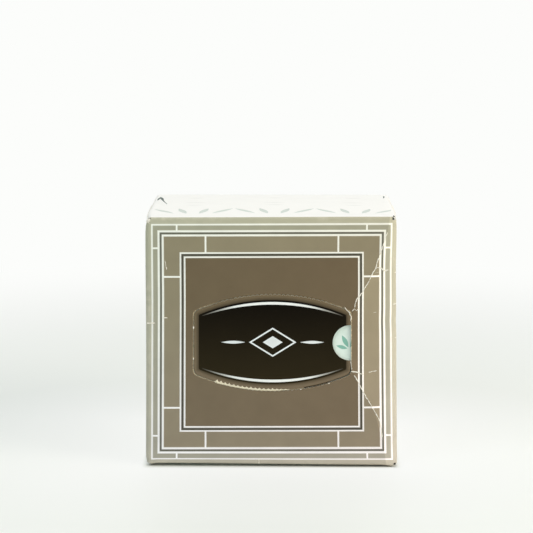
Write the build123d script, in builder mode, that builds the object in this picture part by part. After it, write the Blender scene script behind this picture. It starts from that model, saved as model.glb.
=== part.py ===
from build123d import *
import math
import os

# A tissue carton folded from one card blank and glued shut, with the film-wrapped pack
# of tissues inside it. It stands on one of its sides, as it does on a shelf, with the
# tear-out face to the front (-Y) and +Z up. The origin is the middle of the base.
# Millimetres.

os.makedirs("parts", exist_ok=True)

# The carton, measured outside
box_width = 112.0
box_depth = 84.0
box_height = 112.0
card = 0.45

# Creases, inside radius: crisp ones round the body, softer ones at the ends
body_crease_radius = 0.55
end_crease_radius = 0.65

# The lap that closes the body, along the lower back edge
seam_set_back = 0.3
glue_flap_width = 14.0
glue_flap_taper = 4.0

# End flaps: two wide ones that lap each other, over two narrow dust flaps
wide_flap_length = 51.0
wide_flap_relief = 1.3
wide_flap_corner = 3.0
dust_flap_length = 38.0
dust_flap_relief = 2.2
dust_flap_taper = 9.0
dust_flap_taper_length = 30.0

# The tear-out panel, a barrel shape a little right of the middle of its face
tear_out_shift = 0.5
tear_out_width = 70.4
tear_out_height = 43.0
tear_out_side_height = 28.2
tear_out_corner_radius = 3.2
cut_width = 0.22

# The scalloped cuts along its two arcs, and the uncut nicks on its left side
zip_cuts = 26
zip_pitch = 1.95
zip_nick = 0.55
zip_scallop = 0.4
side_nick = 0.6
side_nick_spacing = 13.8

# The half-round hole that a finger starts the tear from
finger_hole_radius = 8.0
finger_hole_inset = 0.3

# The film-wrapped pack, by its clearances inside the carton
pack_seat_gap = 0.3
pack_end_gap = 0.7
pack_back_gap = 0.7
pack_head_gap = 2.0
pack_edge_radius = 4.0
film_lap = 0.3
fin_seal_width = 9.0
end_fold_inset = 7.0
end_fold_lap = 10.0
end_fold_tip_width = 26.0

cut_overrun = 1.0

# Radii of the creases at the middle of the card
half_card = card / 2
body_bend = body_crease_radius + half_card
dust_bend = end_crease_radius + half_card
inner_bend = dust_bend + card
outer_bend = inner_bend + card

# Where the body stops and the end flaps' creases begin
body_half_length = box_width / 2 - outer_bend - half_card

# Middle of the card in the four panels round the body, and in the glue flap
front_y = half_card - box_depth / 2
back_y = box_depth / 2 - half_card
base_z = half_card
top_z = box_height - half_card
lap_y = back_y - card

# The body: back, top, front and base panels, then the crease of the glue flap
with BuildPart() as body:
    with BuildSketch(Plane.YZ.offset(-body_half_length)):
        with BuildLine():
            FilletPolyline(
                (back_y, seam_set_back),
                (back_y, top_z),
                (front_y, top_z),
                (front_y, base_z),
                (lap_y - body_bend, base_z),
                radius=body_bend,
            )
        trace(line_width=card)
        with BuildLine():
            lap_crease = CenterArc((lap_y - body_bend, base_z + body_bend), body_bend, -90, 90)
            Line(lap_crease @ 1, (lap_crease @ 1) + Vector(0, card))
        trace(line_width=card)
    extrude(amount=2 * body_half_length)

# The glue flap, which lies against the inside of the back panel
with BuildPart() as glue_flap:
    with BuildSketch(Plane.XZ.offset(-(lap_y - half_card))):
        with BuildLine():
            Polyline(
                (-body_half_length, base_z + body_bend),
                (body_half_length, base_z + body_bend),
                (body_half_length - glue_flap_taper, glue_flap_width),
                (glue_flap_taper - body_half_length, glue_flap_width),
                close=True,
            )
        make_face()
    extrude(amount=-card)

# The wide flap of the front panel, outermost on the right end
with BuildPart() as outer_flap:
    with BuildSketch(Plane.XY.offset(wide_flap_relief)):
        with BuildLine():
            outer_crease = CenterArc((body_half_length, front_y + outer_bend), outer_bend, -90, 90)
            Line(outer_crease @ 1, (outer_crease @ 1) + Vector(0, wide_flap_length))
        trace(line_width=card)
    extrude(amount=box_height - 2 * wide_flap_relief)
    outer_corners = outer_flap.edges().filter_by(Axis.X).group_by(Axis.Y)[-1]
    chamfer(outer_corners, wide_flap_corner)

# The wide flap of the back panel, under it
with BuildPart() as inner_flap:
    with BuildSketch(Plane.XY.offset(wide_flap_relief)):
        with BuildLine():
            inner_crease = CenterArc((body_half_length, back_y - inner_bend), inner_bend, 90, -90)
            Line(inner_crease @ 1, (inner_crease @ 1) - Vector(0, wide_flap_length))
        trace(line_width=card)
    extrude(amount=box_height - 2 * wide_flap_relief)
    inner_corners = inner_flap.edges().filter_by(Axis.X).group_by(Axis.Y)[0]
    chamfer(inner_corners, wide_flap_corner)

# The dust flap of the top panel, innermost; the base panel has its mirror image
with BuildPart() as dust_flap:
    with BuildSketch(Plane.XZ.offset(-(dust_flap_relief - box_depth / 2))):
        with BuildLine():
            dust_crease = CenterArc((body_half_length, top_z - dust_bend), dust_bend, 90, -90)
            Line(dust_crease @ 1, (dust_crease @ 1) - Vector(0, dust_flap_length))
        trace(line_width=card)
    extrude(amount=-(box_depth - 2 * dust_flap_relief))
    dust_corners = dust_flap.edges().filter_by(Axis.X).group_by(Axis.Z)[0]
    chamfer(dust_corners, dust_flap_taper, dust_flap_taper_length)

# One scalloped cut of the zip, bowed outwards from the tear-out panel
cut_half_length = (zip_pitch - zip_nick) / 2
with BuildSketch() as zip_cut:
    with BuildLine():
        ThreePointArc((-cut_half_length, 0), (0, zip_scallop), (cut_half_length, 0))
    trace(line_width=cut_width)

# The carton, whole: body and flaps, then the tear-out panel's cuts and the finger hole
half_width = tear_out_width / 2
crown = tear_out_height / 2
shoulder = tear_out_side_height / 2
arc_radius = (half_width**2 + (crown - shoulder) ** 2) / (2 * (crown - shoulder))
zip_angle = math.degrees(zip_pitch / arc_radius)
zip_half_span = arc_radius * math.sin(math.radians(zip_angle * zip_cuts / 2))
zip_sweep = zip_angle * (zip_cuts - 1)
mid_height = Plane.XY.offset(box_height / 2)
front_face = Plane(
    origin=(tear_out_shift, -box_depth / 2, box_height / 2),
    x_dir=(1, 0, 0),
    z_dir=(0, -1, 0),
)

with BuildPart() as carton:
    add(outer_flap.part)
    add(inner_flap.part)
    add(dust_flap.part)
    add(mirror(dust_flap.part, about=mid_height, mode=Mode.PRIVATE))
    mirror(about=Plane.YZ)
    add(body.part)
    add(glue_flap.part)

    with BuildSketch(front_face.offset(cut_overrun)):
        # the outline as a closed cut, then left whole over both zips and the two nicks
        with BuildLine():
            ThreePointArc((-half_width, shoulder), (0, crown), (half_width, shoulder))
            Line((half_width, shoulder), (half_width, -shoulder))
            ThreePointArc((half_width, -shoulder), (0, -crown), (-half_width, -shoulder))
            outline_left = Line((-half_width, -shoulder), (-half_width, shoulder))
        outline = make_face()
        fillet(outline.vertices(), tear_out_corner_radius)
        offset(amount=cut_width / 2)
        offset(amount=-cut_width, mode=Mode.SUBTRACT)
        Rectangle(2 * zip_half_span, box_height, mode=Mode.SUBTRACT)
        with Locations(outline_left @ 0.5):
            with GridLocations(0, side_nick_spacing, 1, 2):
                Rectangle(card + cut_width, side_nick, mode=Mode.SUBTRACT)
        # the two rows of scalloped cuts
        for middle_angle in (90, -90):
            arc_centre = Vector(0, crown - arc_radius).rotate(Axis.Z, middle_angle - 90)
            first_cut = middle_angle - zip_sweep / 2
            with Locations(arc_centre):
                with PolarLocations(arc_radius, zip_cuts, first_cut, zip_sweep, endpoint=True):
                    add(zip_cut.sketch, rotation=-90)
        # the finger hole, cut off along the panel's right edge
        with Locations((half_width - finger_hole_inset, 0)):
            Circle(finger_hole_radius)
        with Locations((half_width + cut_width / 2, 0)):
            Rectangle(
                finger_hole_radius,
                2 * finger_hole_radius,
                align=(Align.MIN, Align.CENTER),
                mode=Mode.SUBTRACT,
            )
    extrude(amount=-(card + 2 * cut_overrun), mode=Mode.SUBTRACT)

carton.part.label = "carton"

# The pack of tissues in its printed film, one closed solid, stood on the base panel
pack_half_length = box_width / 2 - 3 * card - pack_end_gap - film_lap
pack_front = card + pack_seat_gap - box_depth / 2
pack_back = box_depth / 2 - 2 * card - pack_back_gap - film_lap
pack_bottom = card + pack_seat_gap
pack_top = box_height - card - pack_head_gap
pack_depth = pack_back - pack_front
pack_height = pack_top - pack_bottom
pack_mid_y = (pack_front + pack_back) / 2
pack_mid_z = (pack_bottom + pack_top) / 2

with BuildPart() as tissue_pack:
    with BuildSketch(Plane.YZ.offset(-pack_half_length)):
        with Locations((pack_mid_y, pack_mid_z)):
            Rectangle(pack_depth, pack_height)
    extrude(amount=2 * pack_half_length)
    fillet(tissue_pack.edges(), pack_edge_radius)

    # the film's long fin seal, laid flat down the middle of the back
    with BuildSketch(Plane.XZ.offset(-(pack_back - film_lap))):
        with Locations((0, pack_mid_z)):
            Rectangle(2 * (pack_half_length - pack_edge_radius), fin_seal_width)
    extrude(amount=-2 * film_lap)

    # the film's ends, folded over like an envelope and sealed
    fold_half_base = pack_depth / 2 - end_fold_inset
    fold_height = pack_height / 2 - pack_edge_radius
    with BuildSketch(Plane.YZ.offset(pack_half_length - film_lap)):
        with Locations((pack_mid_y, pack_mid_z)):
            for side in (1, -1):
                Polygon(
                    (-fold_half_base, side * fold_height),
                    (fold_half_base, side * fold_height),
                    (end_fold_tip_width / 2, -side * end_fold_lap / 2),
                    (-end_fold_tip_width / 2, -side * end_fold_lap / 2),
                    align=None,
                )
    extrude(amount=2 * film_lap)
    mirror(about=Plane.YZ)

tissue_pack.part.label = "tissue_pack"

export_step(carton.part, "parts/carton.step")
export_step(tissue_pack.part, "parts/tissue_pack.step")
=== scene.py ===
import math
import random
from functools import partial

import bmesh
import bpy
from mathutils import Euler, Matrix, Vector, noise


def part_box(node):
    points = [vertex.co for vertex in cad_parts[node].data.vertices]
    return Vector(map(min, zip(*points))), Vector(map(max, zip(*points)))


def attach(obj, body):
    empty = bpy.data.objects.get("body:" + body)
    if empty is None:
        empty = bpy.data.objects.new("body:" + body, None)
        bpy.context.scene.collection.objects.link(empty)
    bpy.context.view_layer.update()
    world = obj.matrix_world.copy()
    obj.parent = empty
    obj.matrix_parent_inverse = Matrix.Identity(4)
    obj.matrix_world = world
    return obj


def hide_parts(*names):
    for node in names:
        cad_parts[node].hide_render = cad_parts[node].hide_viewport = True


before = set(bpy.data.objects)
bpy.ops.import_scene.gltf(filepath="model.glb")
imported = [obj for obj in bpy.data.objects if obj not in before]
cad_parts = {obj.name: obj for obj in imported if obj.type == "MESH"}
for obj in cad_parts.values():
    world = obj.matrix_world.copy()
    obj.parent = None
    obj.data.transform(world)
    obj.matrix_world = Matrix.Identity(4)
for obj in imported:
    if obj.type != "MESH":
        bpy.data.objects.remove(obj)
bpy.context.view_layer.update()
mm = 0.001
print("frame loaded:", sorted(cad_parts))


def hexColour(code):  # sRGB hex to linear
    channels = [int(code[i : i + 2], 16) / 255 for i in (1, 3, 5)]
    return [c / 12.92 if c <= 0.04045 else ((c + 0.055) / 1.055) ** 2.4 for c in channels] + [1]


def fillInputs(node, inputs):  # links from nodes and sockets, and plain values
    pairs = inputs.items() if isinstance(inputs, dict) else enumerate(inputs)
    for key, value in pairs:
        if isinstance(value, bpy.types.Node):
            value = value.outputs[0]
        if isinstance(value, bpy.types.NodeSocket):
            node.id_data.links.new(value, node.inputs[key])
        else:
            node.inputs[key].default_value = value


def addNode(tree, kind, inputs=(), **settings):  # kind may name the operation too, as in "Math ADD"
    kind, _, operation = kind.partition(" ")
    node = tree.nodes.new("ShaderNode" + kind)
    if operation:
        node.operation = operation
    for name, value in settings.items():
        setattr(node, name, value)
    fillInputs(node, inputs)
    return node


def setStops(ramp, stops):  # stops: (position, hex)
    elements = ramp.color_ramp.elements
    while len(elements) > 1:
        elements.remove(elements[-1])
    elements[0].position = stops[0][0]
    elements[0].color = hexColour(stops[0][1])
    for position, code in stops[1:]:
        elements.new(position).color = hexColour(code)
    return ramp


def newMaterial(name):
    material = bpy.data.materials.new(name)
    material.use_nodes = True
    tree = material.node_tree
    return material, tree.nodes["Principled BSDF"], partial(addNode, tree)


def makeFlecked(name, grain, stops, rough, bump=None):  # matt, and mottled by noise
    material, shader, add = newMaterial(name)
    place = add("TexCoord").outputs["Object"]
    fleck = add("TexNoise", {"Vector": place, **grain})
    ramp = setStops(add("ValToRGB", [fleck]), stops)
    fillInputs(shader, {"Base Color": ramp, "Roughness": rough})
    if bump:
        fillInputs(shader, {"Normal": add("Bump", {**bump, "Height": fleck})})
    return material


def newObject(name, data):
    thing = bpy.data.objects.new(name, data)
    bpy.context.scene.collection.objects.link(thing)
    return thing


def smoothSkin(bm):  # normals outward
    bmesh.ops.recalc_face_normals(bm, faces=bm.faces)
    for face in bm.faces:
        face.smooth = True


def newMesh(name, bm):
    mesh = bpy.data.meshes.new(name)
    bm.to_mesh(mesh)
    bm.free()
    return mesh


def newPiece(name, bm, materials):
    piece = newObject(name, newMesh(name, bm))
    for material in materials:
        piece.data.materials.append(material)
    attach(piece, "root")
    return piece


def smoothStep(low, high, value):
    share = min(1, max(0, (value - low) / (high - low)))
    return share * share * (3 - 2 * share)


def leafShapes(add, aside, away, leaves):  # tapered leaves that meet at one foot, as a mask
    mask = 0.0
    for angle, start, end, width in leaves:  # degrees aside, where it starts and ends, half width
        across, ahead = math.cos(math.radians(angle)), math.sin(math.radians(angle))
        stretch = add("Math MULTIPLY_ADD", [aside, ahead, add("Math MULTIPLY", [away, across])])
        offLine = add("Math MULTIPLY_ADD", [aside, across, add("Math MULTIPLY", [away, -ahead])])
        share = add("MapRange", [stretch, start, end])
        swell = add("Math SINE", [add("Math MULTIPLY", [share, math.pi])])
        room = add("Math MULTIPLY", [swell, width])
        inside = add("Math LESS_THAN", [add("Math ABSOLUTE", [offLine]), room])
        mask = add("Math MAXIMUM", [mask, inside])
    return mask


def barrelShape(add, x, z, shape):  # between two arcs: the place from its middle, and how far past its edge
    (middleX, middleZ), (wide, high), radius, rounding = shape
    x = add("Math SUBTRACT", [x, middleX])
    z = add("Math SUBTRACT", [z, middleZ])
    ax = add("Math ABSOLUTE", [x])
    az = add("Math ABSOLUTE", [z])
    lift = add("Math ADD", [az, radius - high])
    reach = add("VectorMath LENGTH", [add("CombineXYZ", [x, lift])]).outputs[1]
    pastArc = add("Math SUBTRACT", [reach, radius])
    edge = add("Math SMOOTH_MAX", [pastArc, add("Math SUBTRACT", [ax, wide]), rounding])
    return x, z, ax, az, pastArc, edge


# What the card's faces share: ink uneven at 9 mm, paper fibre at 0.4 mm, rubbed pale along the folds
cardFinish = {
    "span": (0.3, 0.7),  # the noise values between which the ink and the gloss vary
    "uneven": 0.035,
    "flecks": (0.35, 0.7, 0.0, 0.6),  # where the rubbed lacquer is off, from and to, and how far
    "gloss": (-0.05, 0.06),
}


def finishCard(add, shader, colour, v):
    low, high = cardFinish["span"]
    rough, sheen, uneven = v["finish"]
    vary = cardFinish["uneven"] * uneven
    duller, glossier = cardFinish["gloss"]
    place = add("TexCoord").outputs["Object"]
    cloud = add("TexNoise", {"Vector": place, "Scale": 110.0, "Detail": 3.0})
    fibre = add("TexNoise", {"Vector": place, "Scale": 2500.0, "Detail": 2.0})
    patchy = add("TexNoise", {"Vector": place, "Scale": 420.0, "Detail": 3.0})
    shade = add("MapRange", [cloud, low, high, 1 - vary, 1 + vary])
    colour = add("VectorMath SCALE", {0: colour, 3: shade})
    rub = add("Attribute", attribute_name="rub").outputs["Fac"]
    wear = add("Math MULTIPLY", [rub, add("MapRange", [patchy, *cardFinish["flecks"]])])
    colour = add("Mix", {0: wear, 6: colour, 7: hexColour(v["worn"])}, data_type="RGBA").outputs[2]
    gloss = add("MapRange", [fibre, low, high, rough + duller, rough + glossier])
    bump = add("Bump", {"Strength": 0.25, "Distance": 0.00003, "Height": fibre})
    fillInputs(shader, {"Base Color": colour, "Roughness": gloss, "Normal": bump})
    fillInputs(shader, {"Specular IOR Level": sheen})


# Lacquered print on white-lined carton board. Millimetres from the middle of the front
frontPrint = {
    "main": "#72644E",
    # painted reflection: the main ink is painted paler in the lower half, for a faint bloom of the lacquer
    # there
    "mainLowReflection": "#7C6E5A",
    "reflectionFade": (-30.0, 25.0),  # painted reflection: the heights between which the paler lower ink turns into main
    "sideLightTint": ((0.965, 1.0, 1.01), (1.03, 1.0, 0.985)),  # painted light, warmer and a little lighter where the warm side light falls: times the inks, from the left edge to the right
    "sag": ((1.02, 0.99, 1.06), (0.99, 1.0, 0.96)),  # of the frames' inks, from the bottom edge to the top
    "bands": [  # half size in mm to the middle of each white line, and the band outside it
        (38.95, "#535045"),
        (40.8, "#958B74"),
        (48.65, "#6E6D61"),
        (50.5, "#A9A694"),
        (53.4, "#BCB8A4"),
    ],
    "outermost": 60.0,
    "line": "#FBFAF3",
    "lineWidth": 0.8,
    "lineBlur": 0.05,
    "frameCentre": (0.25, 0.14),
    "tilt": 0.0038,  # how much the frames climb to the right
    "tallness": (1.0, 0.57),  # half height of a frame, times and plus these, is its half width
    "ticks": [(29.6, 44.7, 3.7), (42.4, 51.95, 1.3)],  # place along the frame, the band's middle and half width
    "label": ((0.55, 0.25), (32.95, 19.0), 84.4, 0.8),  # centre, half size, radius of arcs and of corners
    "labelInks": [(0.0, "#2E2716"), (1.0, "#080400")],
    "halo": (1.5, 0.65),  # width and strength
    "crescent": (0.85, 1.2, 0.25),  # inset, thickness in the middle and at the tips
    "crescentEnd": (1.4, 2.0),  # how far short of the label's end it stops, and how late it thins
    "crescentInks": [
        (0.0, "#F7FAF8"),
        (0.28, "#ECEFEC"),
        (0.55, "#ABABA5"),
        (0.8, "#716F68"),
        (1.0, "#3A362E"),
    ],
    "lozenge": (10.6, 6.6, 0.12, 0.42),  # half width and height, and the shares of its outline and its heart
    "bar": (90.0, 12.2, 23.0, 0.65),
    "ornament": "#E9EFF0",
    "tearOut": ((0.5, 0.0), (35.2, 21.5), 87.42, 3.0),  # as the label
    "burr": "#DCC8A2",
    "burrBand": (0.14, 0.22),  # middle and half width, from the cut outwards
    "burrEnds": (23.0, 31.0, 0.25, 0.85, 1.15),  # from and to, how frayed there, and times this at the right
    "burrPatches": (0.35, 0.65, 0.1, 1.0),
    # painted shade: the dark of the gaping lower right arc of the cut
    "gapShade": "#2C241A",
    "gapShadeBand": (-0.05, 0.34),
    "gapShadePart": (14.0, -8.0, 0.85),  # right of, below, and how dark
    "worn": "#DAD4C2",
    # painted light: how much paler the ink is painted right of the creases, where the bent card faces the side
    # light
    "bentLight": 0.2,
    "finish": (0.42, 0.07, 1.0),  # roughness, sheen and how uneven the ink is
}


def makeFrontPrint():
    v = frontPrint
    material, shader, add = newMaterial("lacquered taupe print")
    spot = add("VectorMath SCALE", {0: add("UVMap", uv_map="print"), 3: 1 / mm})
    split = add("SeparateXYZ", [spot])
    x, z = split.outputs[0], split.outputs[1]

    # nested frames: one measure that grows outwards, coloured by a ramp of bands and white lines
    level = add("Math MULTIPLY_ADD", [x, -v["tilt"], z])
    dx = add("Math ABSOLUTE", [add("Math SUBTRACT", [x, v["frameCentre"][0]])])
    dz = add("Math ABSOLUTE", [add("Math SUBTRACT", [level, v["frameCentre"][1]])])
    out = add("Math MAXIMUM", [dx, add("Math MULTIPLY_ADD", [dz, *v["tallness"]])])
    along = add("Math MINIMUM", [dx, dz])
    half, blur, line = v["lineWidth"] / 2, v["lineBlur"], v["line"]
    stops, inner = [(0.0, v["main"])], v["main"]
    for middle, outer in v["bands"]:
        inks = ((-half - blur, inner), (-half + blur, line), (half - blur, line), (half + blur, outer))
        stops += [((middle + offset) / v["outermost"], ink) for offset, ink in inks]
        inner = outer
    ramp = setStops(add("ValToRGB", [add("Math DIVIDE", [out, v["outermost"]])]), stops)
    ticks = []
    for tick, middle, reach in v["ticks"]:
        onLine = add("Math COMPARE", [along, tick, half])
        inBand = add("Math COMPARE", [out, middle, reach])
        ticks.append(add("Math MULTIPLY", [onLine, inBand]))
    onTick = add("Math MAXIMUM", ticks)
    colour = add("Mix", {0: onTick, 6: ramp, 7: hexColour(line)}, data_type="RGBA").outputs[2]
    climb = add("MapRange", [z, -50.0, 50.0])
    sag = add("Mix", {0: climb, 4: v["sag"][0], 5: v["sag"][1]}, data_type="VECTOR").outputs[1]
    colour = add("VectorMath MULTIPLY", [colour, sag])
    # painted reflection: the main ink turns paler towards the bottom
    upwards = add("MapRange", [z, *v["reflectionFade"]], interpolation_type="SMOOTHSTEP")
    mainInkAndReflection = {0: upwards, 6: hexColour(v["mainLowReflection"]), 7: hexColour(v["main"])}
    mainInkAndReflection = add("Mix", mainInkAndReflection, data_type="RGBA").outputs[2]
    inMain = add("Math LESS_THAN", [out, v["bands"][0][0] - half])

    # the barrel label: a soft dark halo, the label, and a pale crescent inside each arc
    wide, high = v["label"][1]
    _, lz, ax, az, pastArc, edge = barrelShape(add, x, z, v["label"])
    labelInk = setStops(add("ValToRGB", [add("MapRange", [lz, -high, high])]), v["labelInks"])
    halo = add("MapRange", [edge, 0.0, *v["halo"], 0.0])
    inLabel = add("Math LESS_THAN", [edge, 0.0])
    inset, thick, thin = v["crescent"]
    short, late = v["crescentEnd"]
    spread = add("Math POWER", [add("Math DIVIDE", [ax, wide - short]), late])
    halfThick = add("MapRange", {0: spread, 3: thick / 2, 4: thin / 2})
    depth = add("Math MULTIPLY", [pastArc, -1.0])
    onArc = add("Math COMPARE", [depth, add("Math ADD", [halfThick, inset]), halfThick])
    crescent = add("Math MULTIPLY", [onArc, add("Math LESS_THAN", [spread, 1.0])])
    crescentInk = setStops(add("ValToRGB", [spread]), v["crescentInks"])

    # a plain lozenge between two tapered bars in the middle of the label
    wide, high, stroke, heart = v["lozenge"]
    rhomb = add("Math MULTIPLY_ADD", [ax, 1 / wide, add("Math DIVIDE", [az, high])])
    outline = add("Math COMPARE", [rhomb, 1 - stroke / 2, stroke / 2])
    lozenge = add("Math MAXIMUM", [outline, add("Math LESS_THAN", [rhomb, heart])])
    ornament = add("Math MAXIMUM", [lozenge, leafShapes(add, ax, lz, [v["bar"]])])

    # torn board fibres beside the perforation, faint over the zips
    grain = add("TexNoise", {"Vector": spot, "Scale": 1.3, "Detail": 3.0})
    tx, _, tax, _, _, tearEdge = barrelShape(add, x, z, v["tearOut"])
    *frayed, more = v["burrEnds"]
    onRight = add("Math GREATER_THAN", [tx, 0.0])
    loose = add("MapRange", {0: onRight, 3: 1.0, 4: more})
    loose = add("Math MULTIPLY", [add("MapRange", [tax, *frayed]), loose])
    patch = add("Math MULTIPLY", [add("MapRange", [grain, *v["burrPatches"]]), loose])
    burr = add("Math MULTIPLY", [add("Math COMPARE", [tearEdge, *v["burrBand"]]), patch])

    # painted shade: the lower right arc gapes a little, and the shade in that gap is painted dark along the cut
    rightOf, below, dark = v["gapShadePart"]
    rightPart = add("Math GREATER_THAN", [tx, rightOf])
    shadedPart = add("Math MULTIPLY", [add("Math LESS_THAN", [z, below]), rightPart])
    gapShade = add("Math MULTIPLY", [shadedPart, add("Math COMPARE", [tearEdge, *v["gapShadeBand"]])])
    gapShade = add("Math MULTIPLY", [gapShade, dark])

    layers = [(inMain, mainInkAndReflection), (halo, labelInk), (inLabel, labelInk), (crescent, crescentInk)]
    marks = {"ornament": ornament, "burr": burr, "gapShade": gapShade}
    layers += [(mask, hexColour(v[ink])) for ink, mask in marks.items()]
    for mask, ink in layers:
        colour = add("Mix", {0: mask, 6: colour, 7: ink}, data_type="RGBA").outputs[2]

    # painted light: right of the creases, where the bent card faces the side light, the ink is painted paler
    bent = add("Attribute", attribute_name="bent").outputs["Fac"]
    colour = add("VectorMath SCALE", {0: colour, 3: add("Math MULTIPLY_ADD", [bent, v["bentLight"], 1.0])})
    # painted light: the inks turn warmer and a little lighter towards the right, where the warm side light
    # falls
    rightwards = add("MapRange", [x, -56.0, 56.0])
    sideLightTint = add("Mix", {0: rightwards, 4: v["sideLightTint"][0], 5: v["sideLightTint"][1]}, data_type="VECTOR").outputs[1]
    finishCard(add, shader, add("VectorMath MULTIPLY", [colour, sideLightTint]), v)
    return material


# The pale print of the other sides: fans of tapered leaves on near white
sidePrint = {
    "ground": "#FAF8F3",
    "leaf": "#D2D8D0",
    "dash": "#EBEAE4",
    "pitch": 36.6,  # mm from fan to fan
    "shift": 1.2,
    "foot": -1.0,  # mm from the front edge to where the lines of the leaves meet
    "leaves": [(12.5, 13.5, 31.0, 1.5), (31.0, 16.5, 35.0, 1.4)],  # degrees aside, start, end, half width
    "dashes": [(41.0, 4.5), (50.0, 5.5), (68.0, 4.0)],  # mm from the front edge, half length
    "dashWidth": 0.8,
    "worn": "#F1EEE4",
    "finish": (0.45, 0.16, 0.3),
}


def makeSidePrint():
    v = sidePrint
    material, shader, add = newMaterial("lacquered pale print")
    spot = add("VectorMath SCALE", {0: add("UVMap", uv_map="print"), 3: 1 / mm})
    split = add("SeparateXYZ", [spot])
    across, back = split.outputs[0], split.outputs[1]
    aside = add("Math PINGPONG", [add("Math SUBTRACT", [across, v["shift"]]), v["pitch"] / 2])
    layers = []
    for distance, half in v["dashes"]:
        beyond = add("Math SUBTRACT", [back, distance])
        layers.append((leafShapes(add, aside, beyond, [(90.0, -half, half, v["dashWidth"])]), v["dash"]))
    away = add("Math SUBTRACT", [back, v["foot"]])
    layers.append((leafShapes(add, aside, away, v["leaves"]), v["leaf"]))
    colour = hexColour(v["ground"])
    for mask, ink in layers:
        colour = add("Mix", {0: mask, 6: colour, 7: hexColour(ink)}, data_type="RGBA").outputs[2]
    finishCard(add, shader, colour, v)
    return material


# Unprinted white lining of the back, a little duller than the print, and the bare board
plainCard = {
    "linings": [(0.3, "#EEECE5"), (0.7, "#F1EFE8")],
    "worn": "#E2DDD0",
    "finish": (0.5, 0.16, 0.3),
    "board": ("#B9AE9A", 0.85),  # colour and roughness
    "edge": ("#F3F0E6", 0.8),
}


def makePlainCard():
    v = plainCard
    material, shader, add = newMaterial("white lined back")
    place = add("TexCoord").outputs["Object"]
    cloud = add("TexNoise", {"Vector": place, "Scale": 240.0, "Detail": 5.0})
    finishCard(add, shader, setStops(add("ValToRGB", [cloud]), v["linings"]), v)
    return material


def makeBoard(name, code, rough):  # bare board: matt, with flecks of recycled fibre 0.5 mm long
    material, shader, add = newMaterial(name)
    place = add("TexCoord").outputs["Object"]
    fleck = add("TexNoise", {"Vector": place, "Scale": 2000.0, "Detail": 3.0})
    tone = add("MapRange", [fleck, 0.3, 0.7, 0.86, 1.12])
    colour = add("VectorMath SCALE", {0: hexColour(code)[:3], 3: tone})
    bump = add("Bump", {"Strength": 0.5, "Distance": 0.00005, "Height": fleck})
    fillInputs(shader, {"Base Color": colour, "Normal": bump, "Roughness": rough})
    return material


# The carton is drawn flat as one blank, die-cut, then folded. Millimetres, radii at the card's middle
carton = {
    "width": 112.0,
    "depth": 84.0,
    "height": 112.0,
    "card": 0.45,
    "bodyBend": 0.775,
    "frontFlapBend": 1.775,
    "backFlapBend": 1.325,
    "dustFlapBend": 0.875,
    "wideFlap": 51.0,
    "wideRelief": 1.3,
    "wideCorner": 3.0,
    "dustFlap": 38.0,
    "dustRelief": 2.2,
    "dustTaper": (30.0, 9.0),
    "glueFlap": 13.0,
    "glueTaper": 4.0,
    "seamSetBack": 0.3,
    "printTurn": 0.75,  # how far over the top crease the front print runs
    "baseTurn": 3.5,  # and how far past it under the base, in mm
    "grid": 2.8,
    "creaseLines": 6,
    "endLines": (0.34, 3.2),  # step through the creases of the end flaps, and where their flat part begins
    "sharp": math.radians(35),  # edges bent by more than this are shaded sharp
}
quarter = math.pi / 2
card = carton["card"]
cornerRun = card / 2 + carton["bodyBend"]  # from a side of the box to where its crease ends
bodyHalf = carton["width"] / 2 - carton["frontFlapBend"] - card / 2
creaseLength = carton["bodyBend"] * quarter
frontHalf = carton["height"] / 2 - cornerRun
topRun = carton["depth"] - 2 * cornerRun
backRun = carton["height"] - cornerRun - carton["seamSetBack"]
crease = (creaseLength, carton["bodyBend"])
upwards = [(frontHalf, 0), crease, (topRun, 0), crease, (backRun, 0)]
downwards = [(frontHalf, 0), crease, (topRun - card, 0), crease, (carton["glueFlap"], 0)]
topStart = frontHalf + creaseLength
backStart = topStart + topRun + creaseLength
backEnd = backStart + backRun
lapStart = -(topStart + topRun - card)
glueStart = lapStart - creaseLength
glueEnd = glueStart - carton["glueFlap"]
printEdge = frontHalf + carton["printTurn"] * creaseLength
baseEdge = topStart + carton["baseTurn"]
sideTurn = bodyHalf + 0.8 * carton["frontFlapBend"] * quarter
backTurn = backStart - 0.5  # in the crease between top and back


def walk(distance, runs):  # out along the first panel, inwards, and how far the card has turned
    out, inward, turn = 0.0, 0.0, 0.0
    for length, radius in runs:
        step = min(distance, length)
        if radius:
            swept = step / radius
            out += radius * (math.sin(turn + swept) - math.sin(turn))
            inward += radius * (math.cos(turn) - math.cos(turn + swept))
            turn += swept
        else:
            out += step * math.cos(turn)
            inward += step * math.sin(turn)
        distance -= step
        if distance <= 0:
            break
    return out, inward, turn


def fold(flat):  # a point of the flat blank, carried to its place on the folded carton
    across, along, lift = flat
    way = 1 if along >= 0 else -1
    out, inward, turn = walk(abs(along), upwards if way > 0 else downwards)
    place = Vector((across, card / 2 - carton["depth"] / 2 + inward, carton["height"] / 2 + way * out))
    outside = Vector((0, -math.cos(turn), way * math.sin(turn)))
    past = abs(across) - bodyHalf
    if past <= 0:
        return place + outside * lift
    bend = carton["dustFlapBend"]
    if abs(along) < topStart:
        bend = carton["frontFlapBend"]
    elif along > backTurn:
        bend = carton["backFlapBend"]
    out, inward, turn = walk(past, [(bend * quarter, bend), (60.0, 0)])
    side = math.copysign(1, across)
    place.x = side * (bodyHalf + out)
    facing = outside * math.cos(turn) + Vector((side * math.sin(turn), 0, 0))
    return place - outside * inward + facing * lift


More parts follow.
